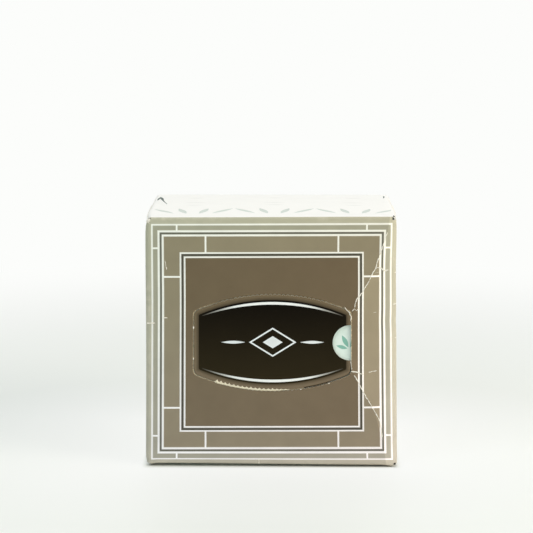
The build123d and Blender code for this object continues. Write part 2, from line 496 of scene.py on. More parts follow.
# How handling has bent the card. Millimetres
handling = {
    "hinge": [  # creases right of the finger hole, across and height; the card is pushed in beyond them
        (51.0, 0.0),
        (50.6, 5.0),
        (49.3, 12.0),
        (46.1, 24.8),
        (39.1, 37.6),
        (35.81, 43.6),
        (35.81, 66.5),
        (37.3, 72.3),
        (46.4, 89.2),
        (51.8, 105.6),
        (52.9, 112.0),
    ],
    "slope": 0.14,
    "slopeBack": (-8, 33),  # where the pushing in ends at the back, and over how much it grows from there
    "lean": (0.0082, 0.0002, 35, 0.25),  # the front narrows upwards: at most, by height, from, and at the right
    "bow": 0.3,
    "dents": [(84.5, 10.0, 0.22), (65.5, 4.0, 0.2)],  # height, reach, how far the right edge is knocked in
    "leftDent": (88, 28, 0.3),
    "spring": 0.43,  # of the flaps that lie under the front's wide ones
    "under": (55.2, -39.9),
    "lift": (1.2, 0.85),  # of the lower front edge off the floor, at the left and at the right
    "cornerLift": 0.25,  # the share of it at the corners
    "foot": (1.3, 2.6),  # how far that edge is pulled forwards
    "crown": (0.1, 0.5),  # how far the upper front edge is pulled up
    "hollow": 1.4,  # how far the base panel is bowed in
    "baseCard": 0.6,
    "bulge": 0.25,
    "topBulge": 0.5,
    "endBulge": 0.6,
    "bulgeHalf": (54, 40),
    "corners": {(-1, -1): 1.0, (-1, 1): 1.3, (1, -1): 0.4, (1, 1): 0.3},  # by side and end
    "cornerReach": 6,
}
fades = {  # where a bend begins and where it is whole, across, back or up
    "slopeLow": (0, 8),
    "slopeHigh": (112, 106),
    "leanRight": (20, 50),
    "leanHigh": (80, 95),
    "front": (-10, -40),
    "bowFrom": (10, 52),
    "bowTo": (55.6, 53.4),
    "dents": (40, 55.5),
    "leftDent": (-53.6, -55.8),
    "springSide": (54, 55.1),
    "springFront": (-8, -13),
    "cornerSide": (53, 56),
    "cornerFront": (-26, -39),
    "bulge": (-41, -41.5),
    "topBulge": (111, 111.4),
    "endBulge": (54, 54.6),
    "rightwards": (-56, 56),
    "liftLeft": (-55.8, -52.5),
    "liftRight": (55.8, 48),
    "liftFront": (-22, -41.6),
    "liftLow": (3, 0),
    "footFront": (-30, -41),
    "footLow": (10, 1),
    "crownFront": (-20, -41),
    "crownHigh": (109, 112),
    "hollowSide": (54, 40),
    "hollowFront": (-41.2, -36),
    "hollowBack": (40, 30),
}


def fade(name, value):
    return smoothStep(*fades[name], value)


def hingeAt(height):  # how far across the crease is at this height
    points = handling["hinge"]
    for (x0, z0), (x1, z1) in zip(points, points[1:]):
        if height <= z1:
            return x0 + (x1 - x0) * max(0.0, height - z0) / (z1 - z0)
    return points[-1][0]


def pushBack(place):  # how far the front is pushed in beyond the creases
    past = place.x - hingeAt(place.z)
    if past <= 0:
        return 0.0
    end, run = handling["slopeBack"]
    ends = fade("slopeLow", place.z) * fade("slopeHigh", place.z)
    return handling["slope"] * past * ends * min(1.0, max(0.0, (end - place.y) / run))


def leanIn(x, z):  # how far a point of the front leans inwards, across
    most, growth, start, more = handling["lean"]
    return -min(most, growth * (z - start)) * x - more * fade("leanRight", x) * fade("leanHigh", z)


def pushCard(place):
    h = handling
    x, y, z = place
    side, end = math.copysign(1, x), 1 if z > 56 else -1
    middle = max(0.0, 1 - ((z - 56) / 56) ** 2)
    across, deepness = (max(0.0, 1 - (value / half) ** 2) for value, half in zip((x, y), h["bulgeHalf"]))
    nearFront, rightwards = fade("front", y), fade("rightwards", x)
    lift, foot, crown = (low + (high - low) * rightwards for low, high in (h["lift"], h["foot"], h["crown"]))

    shift = Vector((leanIn(x, z) * nearFront, pushBack(place), 0))
    shift.x -= h["bow"] * middle * fade("bowFrom", x) * fade("bowTo", x) * nearFront
    for height, reach, deep in h["dents"]:
        shift.x -= deep * math.exp(-(((z - height) / reach) ** 2)) * fade("dents", x) * nearFront
    height, reach, deep = h["leftDent"]
    shift.x -= deep * math.exp(-(((z - height) / reach) ** 2)) * fade("leftDent", x) * nearFront
    if abs(x) < h["under"][0] and y > h["under"][1]:
        shift.x += side * h["spring"] * fade("springSide", abs(x)) * fade("springFront", y)
    pinch = max(0.0, 1 - min(z, 112 - z) / h["cornerReach"])
    pinch = h["corners"][(side, end)] * pinch**2
    shift.x -= side * pinch * fade("cornerSide", abs(x)) * fade("cornerFront", y)
    shift.x += side * h["endBulge"] * middle * deepness * fade("endBulge", abs(x))

    shift.y -= h["bulge"] * middle * across * fade("bulge", y)
    shift.y -= foot * fade("footFront", y) * fade("footLow", z)

    shift.z += h["topBulge"] * across * deepness * fade("topBulge", z)
    inwards = fade("liftLeft" if x < 0 else "liftRight", x)
    lift *= h["cornerLift"] + (1 - h["cornerLift"]) * inwards
    shift.z += lift * fade("liftFront", y) * fade("liftLow", z)
    shift.z += crown * fade("crownFront", y) * fade("crownHigh", z)
    if z < h["baseCard"]:
        shift.z += h["hollow"] * fade("hollowSide", abs(x)) * fade("hollowFront", y) * fade("hollowBack", y)
    return place + shift


flatPanels = [  # across from and to, along from and to
    (-bodyHalf, bodyHalf, glueStart, backEnd),
    (-bodyHalf, bodyHalf, glueEnd, glueStart),
]
wide, dust = carton["wideRelief"] - cornerRun, carton["dustRelief"] - cornerRun  # beyond the ends of the panels
flapEnd = backEnd + carton["seamSetBack"] - carton["wideRelief"]
flaps = [  # bend, length, along from and to
    (carton["frontFlapBend"], carton["wideFlap"], wide - frontHalf, frontHalf - wide),
    (carton["backFlapBend"], carton["wideFlap"], backStart + wide, flapEnd),
    (carton["dustFlapBend"], carton["dustFlap"], topStart + dust, topStart + topRun - dust),
    (carton["dustFlapBend"], carton["dustFlap"], dust - topStart - topRun, -topStart - dust),
]
for side in (-1, 1):
    for bend, length, low, high in flaps:
        ends = sorted((side * bodyHalf, side * (bodyHalf + bend * quarter + length)))
        flatPanels.append((*ends, low, high))


def bisect(bm, faces, spot, normal, dist=1e-4, trim=False):
    parts = dict.fromkeys(part for face in faces for part in (face, *face.edges, *face.verts))
    plane = {"plane_co": spot, "plane_no": normal, "clear_outer": trim}
    return bmesh.ops.bisect_plane(bm, geom=list(parts), dist=dist, **plane)


def cutAcross(bm, value, axis):
    normal = Vector((0, 0, 0))
    normal[axis] = 1
    bisect(bm, bm.faces[:], normal * value, normal)


def moveGrown(bm, grown, shift):  # the new vertices of an extrusion
    verts = [item for item in grown["geom"] if isinstance(item, bmesh.types.BMVert)]
    bmesh.ops.translate(bm, verts=verts, vec=shift)


def trimCorner(bm, corner, dx, dy):  # cuts a slanted corner off a flap of the flat blank
    cx, cy = corner
    side, end = math.copysign(1, cx), math.copysign(1, dy)
    chosen = []
    for face in bm.faces:
        centre = face.calc_center_median()
        if abs(centre.x - cx) < dx + 1.0 and abs(centre.y - cy) < abs(dy) + 30 and centre.x * side > 0:
            chosen.append(face)
    normal = Vector((side * abs(dy), end * dx, 0)).normalized()
    bisect(bm, chosen, Vector((cx - side * dx, cy, 0)), normal, trim=True)


def makeBlank():
    bm = bmesh.new()
    bmesh.ops.create_grid(bm, x_segments=1, y_segments=1, size=1.0)
    widest = max(panel[1] for panel in flatPanels)
    for vert in bm.verts:
        vert.co.x *= widest
        vert.co.y = backEnd if vert.co.y > 0 else glueEnd
    for axis, ends in enumerate(((0, 1), (2, 3))):
        for value in sorted({round(panel[i], 4) for panel in flatPanels for i in ends}):
            cutAcross(bm, value, axis)
    loose = []
    for face in bm.faces:
        x, y, _ = face.calc_center_median()
        if not any(left < x < right and low < y < high for left, right, low, high in flatPanels):
            loose.append(face)
    bmesh.ops.delete(bm, geom=loose, context="FACES")
    for side in (-1, 1):
        trimCorner(bm, (side * bodyHalf, glueEnd), carton["glueTaper"], -carton["glueFlap"])
        for left, right, low, high in flatPanels[2:]:
            tip = left if side < 0 else right
            if tip * side < bodyHalf + 1:
                continue
            isWide = abs(tip) > bodyHalf + carton["wideFlap"]
            dx, dy = (carton["wideCorner"], carton["wideCorner"]) if isWide else carton["dustTaper"]
            trimCorner(bm, (tip, low), dx, -dy)
            trimCorner(bm, (tip, high), dx, dy)
    bmesh.ops.remove_doubles(bm, verts=bm.verts, dist=0.001)
    bmesh.ops.solidify(bm, geom=bm.faces[:], thickness=card)
    bmesh.ops.recalc_face_normals(bm, faces=bm.faces)
    lowest = min(vert.co.z for vert in bm.verts)
    bmesh.ops.translate(bm, verts=bm.verts, vec=(0, 0, -card / 2 - lowest))
    return bm


# The die-cut line round the tear-out panel: scalloped zips, slots round its corners, and a finger hole
tearOut = {
    "centre": (0.5, 0.0),
    "half": (35.2, 21.5),
    "radius": 87.42,
    "corner": 3.2,
    "slot": 0.22,
    "cuts": 26,
    "pitch": 1.95,
    "cutHalf": 0.7,
    "scallop": 0.4,
    "sideNick": 0.6,
    "nickSpacing": 13.8,
    "holeRadius": 8.0,
    "holeInset": 0.3,
}


def cutArc(bm, place, centre, radius, start, sweep):  # a slot along an arc, in degrees from straight up
    half, low = tearOut["slot"] / 2, -2.0
    outwards = Vector((math.sin(math.radians(start)), math.cos(math.radians(start))))
    ends = [Vector(centre) + outwards * reach for reach in (radius - half, radius + half)]
    verts = [bm.verts.new(place @ Vector((end.x, end.y, low))) for end in ends]
    edge = bm.edges.new(verts)
    flip = -1 if place.determinant() > 0 else 1
    bmesh.ops.spin(
        bm,
        geom=verts + [edge],
        cent=place @ Vector((centre[0], centre[1], low)),
        axis=(0, 0, 1),
        angle=flip * math.radians(sweep),
        steps=max(4, int(abs(sweep) / 9)),
    )


def cutLine(bm, place, x, low, high):
    half = tearOut["slot"] / 2
    edge = bm.edges.new([bm.verts.new(place @ Vector((x + side * half, low, -2.0))) for side in (-1, 1)])
    grown = bmesh.ops.extrude_edge_only(bm, edges=[edge])
    moveGrown(bm, grown, place.to_3x3() @ Vector((0, high - low, 0)))


def makeCutters():
    t = tearOut
    bm = bmesh.new()
    home = Matrix.Translation((t["centre"][0], t["centre"][1], 0))
    arcMiddle = t["half"][1] - t["radius"]
    step = math.degrees(t["pitch"] / t["radius"])
    zipEnd = step * t["cuts"] / 2
    scallopRadius = (t["cutHalf"] ** 2 + t["scallop"] ** 2) / (2 * t["scallop"])
    halfSweep = math.degrees(math.asin(t["cutHalf"] / scallopRadius))
    cornerX = t["half"][0] - t["corner"]
    cornerY = arcMiddle + math.sqrt((t["radius"] - t["corner"]) ** 2 - cornerX**2)
    cornerTurn = math.degrees(math.atan2(cornerX, cornerY - arcMiddle))
    nick = t["nickSpacing"] / 2
    for up in (1, -1):
        flip = home @ Matrix.Diagonal((1, up, 1, 1))
        for i in range(t["cuts"]):
            angle = math.radians((i - (t["cuts"] - 1) / 2) * step)
            spot = Vector((math.sin(angle), math.cos(angle), 0)) * t["radius"] + Vector((0, arcMiddle, 0))
            place = flip @ Matrix.Translation(spot) @ Matrix.Rotation(-angle, 4, "Z")
            cutArc(bm, place, (0, t["scallop"] - scallopRadius), scallopRadius, -halfSweep, 2 * halfSweep)
        for side in (1, -1):
            place = flip @ Matrix.Diagonal((side, 1, 1, 1))
            cutArc(bm, place, (0, arcMiddle), t["radius"], zipEnd, cornerTurn - zipEnd)
            cutArc(bm, place, (cornerX, cornerY), t["corner"], cornerTurn, 90 - cornerTurn)
            if side < 0:
                cutLine(bm, place, t["half"][0], cornerY, nick + t["sideNick"] / 2)
                cutLine(bm, place, t["half"][0], nick - t["sideNick"] / 2, 0)
            else:
                cutLine(bm, place, t["half"][0], cornerY, t["holeRadius"] - 0.3)
    bmesh.ops.remove_doubles(bm, verts=bm.verts, dist=0.001)
    moveGrown(bm, bmesh.ops.extrude_face_region(bm, geom=bm.faces[:]), (0, 0, 4.0))
    bmesh.ops.recalc_face_normals(bm, faces=bm.faces)
    slots = newMesh("slots", bm)

    bm = bmesh.new()
    middle = home @ Matrix.Translation((t["half"][0] - t["holeInset"], 0, 0))
    size = {"segments": 72, "radius1": t["holeRadius"], "radius2": t["holeRadius"], "depth": 4.0}
    bmesh.ops.create_cone(bm, cap_ends=True, matrix=middle, **size)
    edge = Vector((t["centre"][0] + t["half"][0] + t["slot"] / 2, 0, 0))
    cut = bisect(bm, bm.faces[:], edge, Vector((1, 0, 0)), dist=1e-5, trim=True)
    bmesh.ops.holes_fill(bm, edges=[e for e in cut["geom_cut"] if isinstance(e, bmesh.types.BMEdge)])
    bmesh.ops.recalc_face_normals(bm, faces=bm.faces)
    return [newObject(mesh.name, mesh) for mesh in (slots, newMesh("hole", bm))]


def cutHinge(bm):  # edges along the creases of handling, so that they bend crisply
    points = [Vector((x, z - 56)) for x, z in handling["hinge"]]
    for a, b in zip(points, points[1:]):
        if abs(b.x - a.x) < 0.01:
            continue
        run = (b - a).normalized()
        aside = Vector((run.y, -run.x))
        chosen = []
        for face in bm.faces:
            offset = face.calc_center_median().to_2d() - a
            if abs(offset.dot(aside)) < 2.4 and -0.5 < offset.dot(run) < (b - a).length + 0.5:
                chosen.append(face)
        bisect(bm, chosen, a.to_3d(), aside.to_3d(), dist=1e-3)


# For each part of the blank, across and then along: from and to, and its start on the baked map, that place
# in mm and the sign. Last the scale, which gives the front the most room
bakeLayout = [
    ((-57.2, 57.2), (-56.4, 56.4), (0.004, -57.3, 1), (0.004, -56.5, 1), 0.0053),  # front
    ((-54.01, 54.01), (glueStart, 0), (0.629, -54.2, 1), (0.004, 56, -1), 0.0034),  # base
    ((-54.01, 54.01), (0, backTurn), (0.629, -54.2, 1), (0.300, 56, 1), 0.0034),  # top
    ((-54.01, 54.01), (0, 300), (0.629, -54.2, 1), (0.600, 139, 1), 0.0034),  # back
    ((0, 200), (-56, 56), (0.004, 56.9, 1), (0.616, -55, 1), 0.0034),  # wide flaps of the front
    ((-200, 0), (-56, 56), (0.182, 56.9, -1), (0.616, -55, 1), 0.0034),
    ((0, 200), (backTurn, 300), (0.360, 54, 1), (0.616, 139, 1), 0.0024),  # and of the back
    ((-200, 0), (backTurn, 300), (0.495, 54, -1), (0.616, 139, 1), 0.0024),
]


def bakeSpot(flat, kind):
    across, along, lift = flat
    if kind == "edge":
        return 0.5 + (across + along) * 0.0002, 0.95 + lift * 0.1
    if kind == "print":
        for (left, right), (low, high), (u, startAcross, flip), (v, startAlong, turn), scale in bakeLayout:
            if left < across < right and low < along < high:
                return u + (flip * across - startAcross) * scale, v + (turn * along - startAlong) * scale
    return 0.40 + across * 0.0002, 0.93 + (along - 50) * 0.0002


def dieCut(bm):
    blank = newObject("blank", newMesh("blank", bm))
    cutters = makeCutters()
    for cutter in cutters:
        cut = blank.modifiers.new(cutter.name, "BOOLEAN")
        cut.operation, cut.solver, cut.object = "DIFFERENCE", "EXACT", cutter
    bpy.context.view_layer.update()
    bm = bmesh.new()
    bm.from_object(blank, bpy.context.evaluated_depsgraph_get())
    for spare in cutters + [blank]:
        mesh = spare.data
        bpy.data.objects.remove(spare)
        bpy.data.meshes.remove(mesh)
    return bm


def evenly(start, end, steps):
    return [start + (end - start) * i / steps for i in range(steps + 1)]


def gridBlank(bm):  # a fine grid to bend, with close lines at every crease
    grid, topEnd = carton["grid"], topStart + topRun
    step, flat = carton["endLines"]
    along = [printEdge, -baseEdge]
    creases = ((frontHalf, topStart), (topEnd, backStart), (-topStart, -frontHalf), (glueStart, lapStart))
    panels = ((-frontHalf, frontHalf), (topStart, topEnd), (backStart, backEnd), (lapStart, -topStart))
    for start, end in creases:
        along += evenly(start, end, carton["creaseLines"])
    for start, end in panels:
        along += evenly(start, end, int((end - start) / grid))[1:-1]
    across = evenly(-bodyHalf, bodyHalf, int(2 * bodyHalf / grid))
    for side in (-1, 1):
        across += [side * (bodyHalf + step * i) for i in range(1, 9)]
        across += [side * sideTurn]
        across += [side * (bodyHalf + flat + grid * i) for i in range(18)]
    for axis, lines in ((1, along), (0, across)):
        for value in sorted({round(line, 4) for line in lines}):
            cutAcross(bm, value, axis)
    cutHinge(bm)
    many = [face for face in bm.faces if len(face.verts) > 4]
    bmesh.ops.triangulate(bm, faces=many, quad_method="BEAUTY", ngon_method="BEAUTY")


def rubAt(flat):  # how far the lacquer is rubbed along the folds, in patches
    x, y = abs(flat.x), abs(flat.y)
    away = min(abs(y - frontHalf - 0.6), abs(x - bodyHalf - 0.9) if y < 56 else 9)
    patch = noise.noise(Vector((flat.x * 0.06, flat.y * 0.06, 3.0)))
    return (1 - smoothStep(0.3, 1.6, away)) * smoothStep(-0.25, 0.45, patch)


def faceKind(face):  # the material's index, and the part of the baked maps
    x, along, _ = face.calc_center_median()
    if abs(face.normal.z) < 0.5:
        return 4, "edge"
    if face.normal.z < 0:
        return 3, "inside"
    if -baseEdge < along < printEdge and abs(x) < sideTurn:
        return 0, "print"
    if along > backStart - creaseLength / 2 and abs(x) < bodyHalf + 0.9:
        return 2, "print"
    return 1, "print"


def printSpot(place, index, isEnd):  # in mm from the middle of the front, or from the front edge
    if index in (0, 2):
        return place.x, place.z - 56
    return (place.z - 56 if isEnd else place.x), place.y + 42


def makeCarton(materials):
    bm = dieCut(makeBlank())
    gridBlank(bm)
    print("blank cut:", len(bm.faces), "faces")
    printMap = bm.loops.layers.uv.new("print")
    bakeMap = bm.loops.layers.uv.new("OFBake")
    rub = bm.verts.layers.float.new("rub")
    bent = bm.loops.layers.float.new("bent")
    bm.normal_update()
    places = {}
    for vert in bm.verts:
        places[vert] = fold(vert.co)
        vert[rub] = rubAt(vert.co)
    for face in bm.faces:
        face.material_index, kind = faceKind(face)
        isEnd = abs(face.calc_center_median().x) > bodyHalf
        middle = sum((places[vert] for vert in face.verts), Vector()) / len(face.verts)
        isBent = middle.y < -30 and middle.x > hingeAt(middle.z)
        for loop in face.loops:
            loop[bent] = float(isBent)
            spot = printSpot(places[loop.vert], face.material_index, isEnd)
            loop[printMap].uv = (spot[0] * mm, spot[1] * mm)
            loop[bakeMap].uv = bakeSpot(loop.vert.co, kind)
    for vert in bm.verts:
        vert.co = pushCard(places[vert]) * mm
    bm.normal_update()
    for face in bm.faces:
        face.smooth = True
    for edge in bm.edges:
        spots = [places[vert] for vert in edge.verts]
        onHinge = all(abs(spot.x - hingeAt(spot.z)) < 0.01 and spot.y < -41 for spot in spots)
        if onHinge or not edge.is_manifold or edge.calc_face_angle() > carton["sharp"]:
            edge.smooth = False
    piece = newPiece("foldedCarton", bm, materials)
    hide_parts("carton")
    return piece


cardMaterials = [
    makeFrontPrint(),
    makeSidePrint(),
    makePlainCard(),
    makeBoard("grey board inside", *plainCard["board"]),
    makeBoard("cut card edge", *plainCard["edge"]),
]
foldedCarton = makeCarton(cardMaterials)
print("carton folded:", len(foldedCarton.data.polygons), "faces")


# Where the lower zip has begun to tear, the printed ply has lifted off the cream board, scalloped by the cuts
tornPly = {
    "from": -25.4,
    "to": 8.0,
    "fray": (0.7, 9.0),  # over what length its ends narrow
    "start": (7.0, 2.0, 0.45),  # beside its start, from and to, and how much wider it is there
    "outside": 0.38,
    "inside": 0.3,
    "peak": 0.85,
    "lift": 0.16,
    "board": [(0.3, "#C9B992"), (0.5, "#E8DFC4"), (0.7, "#FCF7E6")],
}


def makeTornPly():
    v, t = tornPly, tearOut
    grain = {"Scale": 2600.0, "Detail": 4.0, "Roughness": 0.7}  # fluffy, warm where fibres stand up
    bump = {"Strength": 0.8, "Distance": 0.0001}
    material = makeFlecked("torn cream board ply", grain, v["board"], 0.9, bump)
    bm = bmesh.new()
    bmesh.ops.create_grid(bm, x_segments=170, y_segments=3, size=1.0)
    start, end = (math.asin((v[key] - t["centre"][0]) / t["radius"]) for key in ("from", "to"))
    arcMiddle = t["half"][1] - t["radius"]
    wideFrom, wideTo, wider = v["start"]
    for vert in bm.verts:
        angle = start + (end - start) * (vert.co.x + 1) / 2
        length, fromStart, toEnd = (turn * t["radius"] for turn in (angle, angle - start, end - angle))
        ends = smoothStep(0, v["fray"][0], fromStart) * smoothStep(0, v["fray"][1], toEnd)
        ends *= 1 + wider * smoothStep(wideFrom, wideTo, fromStart)
        ragged = noise.noise(Vector((length * 1.7, 0, 5.0)))
        cusp = 1 - abs(math.sin(math.pi * length / t["pitch"])) ** 0.8
        inner = (v["inside"] + v["peak"] * cusp * (0.8 + 0.5 * ragged)) * (0.3 + 0.7 * ends)
        outer = v["outside"] * (0.25 + 0.75 * ends) + 0.08 * noise.noise(Vector((length * 0.9, 4, 0)))
        share = (vert.co.y + 1) / 2
        radius = t["radius"] - inner + (inner + outer) * share
        up = 56 - arcMiddle - radius * math.cos(angle)
        spot = pushCard(Vector((t["centre"][0] + radius * math.sin(angle), -42, up)))
        crest = math.sin(math.pi * share) * (0.6 + 0.6 * noise.noise(Vector((length * 2.3, share * 3, 9))))
        vert.co = (spot + Vector((0, -0.02 - v["lift"] * crest, 0))) * mm
    bmesh.ops.solidify(bm, geom=bm.faces[:], thickness=-0.00008)
    smoothSkin(bm)
    newPiece("tornPly", bm, [material])


makeTornPly()
print("torn ply laid")


# Creases where the ink has cracked and white fibre stands up, as (across, height) in mm on the front
crackMarks = {
    "lines": [
        [(32.6, 72.3), (33.3, 71.2), (34.9, 69.7), (35.4, 67.9), (35.4, 65.6)],
        [(35.8, 70.2), (37.1, 71.5), (37.9, 70.5), (39.0, 71.5)],
        [(37.1, 71.9), (37.9, 75.5), (40.0, 77.9), (42.0, 81.1), (43.8, 84.3), (45.1, 87.0)]
        + [(46.4, 89.2), (47.4, 90.0)],
        [(47.4, 90.0), (48.8, 89.9), (50.3, 88.4), (51.7, 88.3)],
        [(47.3, 89.8), (49.0, 89.7), (50.5, 88.6)],
        [(50.4, 88.6), (51.3, 88.2), (52.0, 88.8)],
        [(46.4, 89.2), (47.8, 93.5), (49.4, 98.1), (51.8, 105.6)],
        [(46.5, 87.5), (47.8, 87.6)],
        [(45.6, 69.4), (46.8, 69.6)],
        [(35.3, 47.8), (35.8, 43.8)],
        [(35.6, 43.1), (38.4, 42.6), (39.6, 41.9), (41.2, 41.7)],
        [(43.3, 42.5), (47.1, 43.2)],
        [(36.8, 41.4), (39.1, 37.6), (40.7, 34.0), (42.5, 30.9), (44.6, 27.3), (46.1, 24.8)]
        + [(47.4, 22.4), (48.4, 19.9)],
        [(48.4, 19.9), (49.1, 16.0), (49.3, 12.0)],
        [(-47.5, 93.1), (-47.0, 91.1), (-46.7, 88.7)],
        [(-55.3, 110.6), (-54.8, 109.6), (-54.1, 109.2)],
        [(-55.4, 109.7), (-54.6, 109.9), (-53.9, 110.5)],
        [(-48.5, 67.1), (-46.3, 67.1)],
        [(12.7, 34.9), (13.1, 35.1), (13.5, 35.0)],
        [(25.2, 37.5), (25.6, 37.8), (26.0, 37.7)],
    ],
    "torn": [  # thicker tufts, the last number a share of the width
        [(-53.9, 111.3, 1.6), (-54.5, 110.9, 2.6), (-55.1, 110.5, 2.6), (-55.6, 110.0, 1.4)],
        [(-34.9, 62.2, 0.6), (-34.8, 62.8, 1.7), (-34.8, 63.4, 0.6)],
        [(-34.9, 48.2, 0.5), (-34.8, 48.7, 1.2), (-34.9, 49.2, 0.5)],
        [(35.5, 43.1, 0.8), (36.6, 42.9, 1.5), (38.0, 42.7, 1.2), (39.2, 42.1, 0.6)],
        [(-55.6, 64.6, 0.8), (-55.1, 64.7, 2.2), (-54.6, 64.7, 0.9), (-53.6, 64.8, 1.2)]
        + [(-52.6, 64.8, 1.4), (-51.9, 64.8, 0.5)],
        [(50.6, 88.3, 0.8), (51.4, 88.5, 1.7), (52.2, 88.7, 1.0)],
        [(54.2, 73.0, 0.6), (55.0, 73.0, 1.2), (55.9, 73.1, 0.8)],
        [(55.0, 87.4, 0.7), (55.5, 87.4, 1.4), (55.9, 87.4, 0.8)],
        [(55.2, 57.9, 0.6), (55.6, 57.7, 1.3), (55.8, 57.5, 0.8)],
        [(-5.6, 3.4, 0.5), (-5.5, 2.3, 0.9), (-5.6, 1.2, 0.5)],
    ],
    "width": 0.46,
    "step": 0.7,
    "stray": 0.16,
    "thickness": (0.45, 1.25),  # least and most along a line, as shares of the width
    "tip": 0.3,
    "fibre": [(0.32, "#B5AA92"), (0.44, "#F8F3E6")],
}


def drawMarks(name, lines, width, material, settle):  # lines of (x, y, z, share of width), settled on the card
    curve = bpy.data.curves.new(name, "CURVE")
    curve.dimensions = "3D"
    curve.bevel_depth = width / 2
    curve.bevel_resolution = 1
    curve.use_fill_caps = True
    for line in lines:
        spline = curve.splines.new("POLY")
        spline.points.add(len(line) - 1)
        for point, (x, y, z, share) in zip(spline.points, line):
            point.co = (x, y, z, 1)
            point.radius = share
    marks = newObject(name, curve)
    bpy.context.view_layer.update()
    bm = bmesh.new()
    bm.from_mesh(bpy.data.meshes.new_from_object(marks))
    bpy.data.objects.remove(marks)
    for vert in bm.verts:
        vert.co = settle(vert.co) * mm
    bmesh.ops.recalc_face_normals(bm, faces=bm.faces)
    newPiece(name, bm, [material])


def settleFront(place):
    spot = Vector((place.x, -42.04 + (place.y + 42) * 0.45, place.z))
    past = max(0.0, abs(spot.x) - bodyHalf)
    spot.y += past * past / 4  # round the end crease
    spot.y = pushCard(spot).y
    spot.x += leanIn(spot.x, spot.z)
    return spot


def settleTop(place):
    spot = Vector((place.x, place.y, 112))
    return Vector((place.x, place.y, pushCard(spot).z + 0.03 + (place.z - 112) * 0.1))


def strayLine(line, chance):  # short steps along a line, each a little off it and of another thickness
    v, points = crackMarks, []
    for (x0, z0), (x1, z1) in zip(line, line[1:]):
        steps = max(1, int(math.hypot(x1 - x0, z1 - z0) / v["step"]))
        points += [(x0 + (x1 - x0) * i / steps, z0 + (z1 - z0) * i / steps) for i in range(steps)]
    points.append(line[-1])
    strayed = []
    for i, (x, z) in enumerate(points):
        inner = 0 < i < len(points) - 1
        x += chance.uniform(-1, 1) * v["stray"] * inner
        z += chance.uniform(-1, 1) * v["stray"] * inner
        strayed.append((x, -42.0, z, chance.uniform(*v["thickness"]) if inner else v["tip"]))
    return strayed


def makeCrackMarks():
    v = crackMarks
    grain = {"Scale": 1800.0, "Detail": 3.0}  # a little grey where ink clings
    material = makeFlecked("white fibre in cracked ink", grain, v["fibre"], 0.9)
    chance = random.Random(7)
    lines = [strayLine(line, chance) for line in v["lines"]]
    lines += [[(x, -42.0, z, share) for x, z, share in tuft] for tuft in v["torn"]]
    drawMarks("crackMarks", lines, v["width"], material, settleFront)


makeCrackMarks()
print("crack marks drawn")


# Painted shade: dark marks in the pinched back corners of the top, where a small gap lies in shade, and in the
# pits of two crushed corners of the front
cornerShade = {
    "lines": [  # across, back, share of the width
        [(-53.6, 18.7, 0.3), (-53.1, 25.5, 0.9), (-52.7, 30.4, 1.3)]
        + [(-52.1, 26.5, 1.2), (-50.6, 15.5, 0.5), (-48.4, 4.1, 0.2)],
        [(52.5, 27.5, 0.25), (52.8, 31.7, 0.6), (52.9, 35.0, 0.25)],
    ],
    "pits": [  # across, height, share of the width
        [(54.3, 1.4, 0.5), (54.8, 1.5, 0.8), (55.2, 1.6, 0.6)],
        [(54.2, 112.9, 0.3), (54.6, 112.7, 0.5), (55.0, 112.4, 0.3)],
    ],
    "width": 1.3,
    # painted shade: the dark of the gap in the pinched corners, and of the pits
    "pinchShade": [(0.35, "#4F5B56"), (0.7, "#8B9993")],
    "shade": [(0.35, "#26251F"), (0.75, "#3B3930")],
}


def makeCornerShade():
    v = cornerShade
    # painted shade where the pinched back corners of the top gap open
    material = makeFlecked("painted shade in a pinched corner", {"Scale": 700.0, "Detail": 4.0}, v["pinchShade"], 0.85)
    lines = [[(x, y, 112.0, share) for x, y, share in line] for line in v["lines"]]
    drawMarks("cornerShadeMarks", lines, v["width"], material, settleTop)
    grain = {"Scale": 2200.0, "Detail": 2.0}
    # painted shade in the pits of the crushed front corners
    material = makeFlecked("painted shade in a crushed corner", grain, v["shade"], 0.95)
    lines = [[(x, -42.0, z, share) for x, z, share in line] for line in v["pits"]]
    drawMarks("cornerPitShade", lines, v["width"], material, settleFront)


makeCornerShade()
print("scuffs drawn")


# The pack inside: tissues pressed square and sealed in a thin printed film. Millimetres
filmPack = {
    "lap": 0.3,
    "edge": 4.0,
    "grid": 3.6,
    "slack": 0.45,
    "finWidth": 9.0,
    "foldInset": 7.0,
    "foldTip": 26.0,
    "foldLap": 10.0,
    "film": [(0.3, "#D6EBDF"), (0.7, "#EBF7F0")],
    "motif": "#86BDAC",
    "finish": (0.3, 0.5),  # roughness and sheen
    "pitch": 13.0,
    "phase": (34.6, 53.0),
    "leaves": [(28.0, 0.8, 7.0, 1.0), (75.0, 0.8, 6.0, 0.8)],
}


def makeFilm():
    v = filmPack
    material, shader, add = newMaterial("printed polythene film")  # glossy, a little milky over white tissue
    place = add("TexCoord").outputs["Object"]
    split = add("SeparateXYZ", [add("VectorMath SCALE", {0: place, 3: 1 / mm})])
    moved = add("Math SUBTRACT", [split.outputs[0], v["phase"][0]])
    aside = add("Math PINGPONG", [moved, v["pitch"] / 2])
    raised = add("Math SUBTRACT", [split.outputs[2], v["phase"][1]])
    away = add("Math FLOORED_MODULO", [raised, v["pitch"]])
    leaf = leafShapes(add, aside, away, v["leaves"])
    cloud = add("TexNoise", {"Vector": place, "Scale": 130.0, "Detail": 4.0})
    ramp = setStops(add("ValToRGB", [cloud]), v["film"])
    colour = add("Mix", {0: leaf, 6: ramp, 7: hexColour(v["motif"])}, data_type="RGBA").outputs[2]
    wrinkle = add("TexNoise", {"Vector": place, "Scale": 260.0, "Detail": 5.0, "Distortion": 1.5})
    bump = add("Bump", {"Strength": 0.5, "Distance": 0.0006, "Height": wrinkle})
    rough, sheen = v["finish"]
    fillInputs(shader, {"Base Color": colour, "Normal": bump})
    fillInputs(shader, {"Roughness": rough, "Specular IOR Level": sheen})
    return material


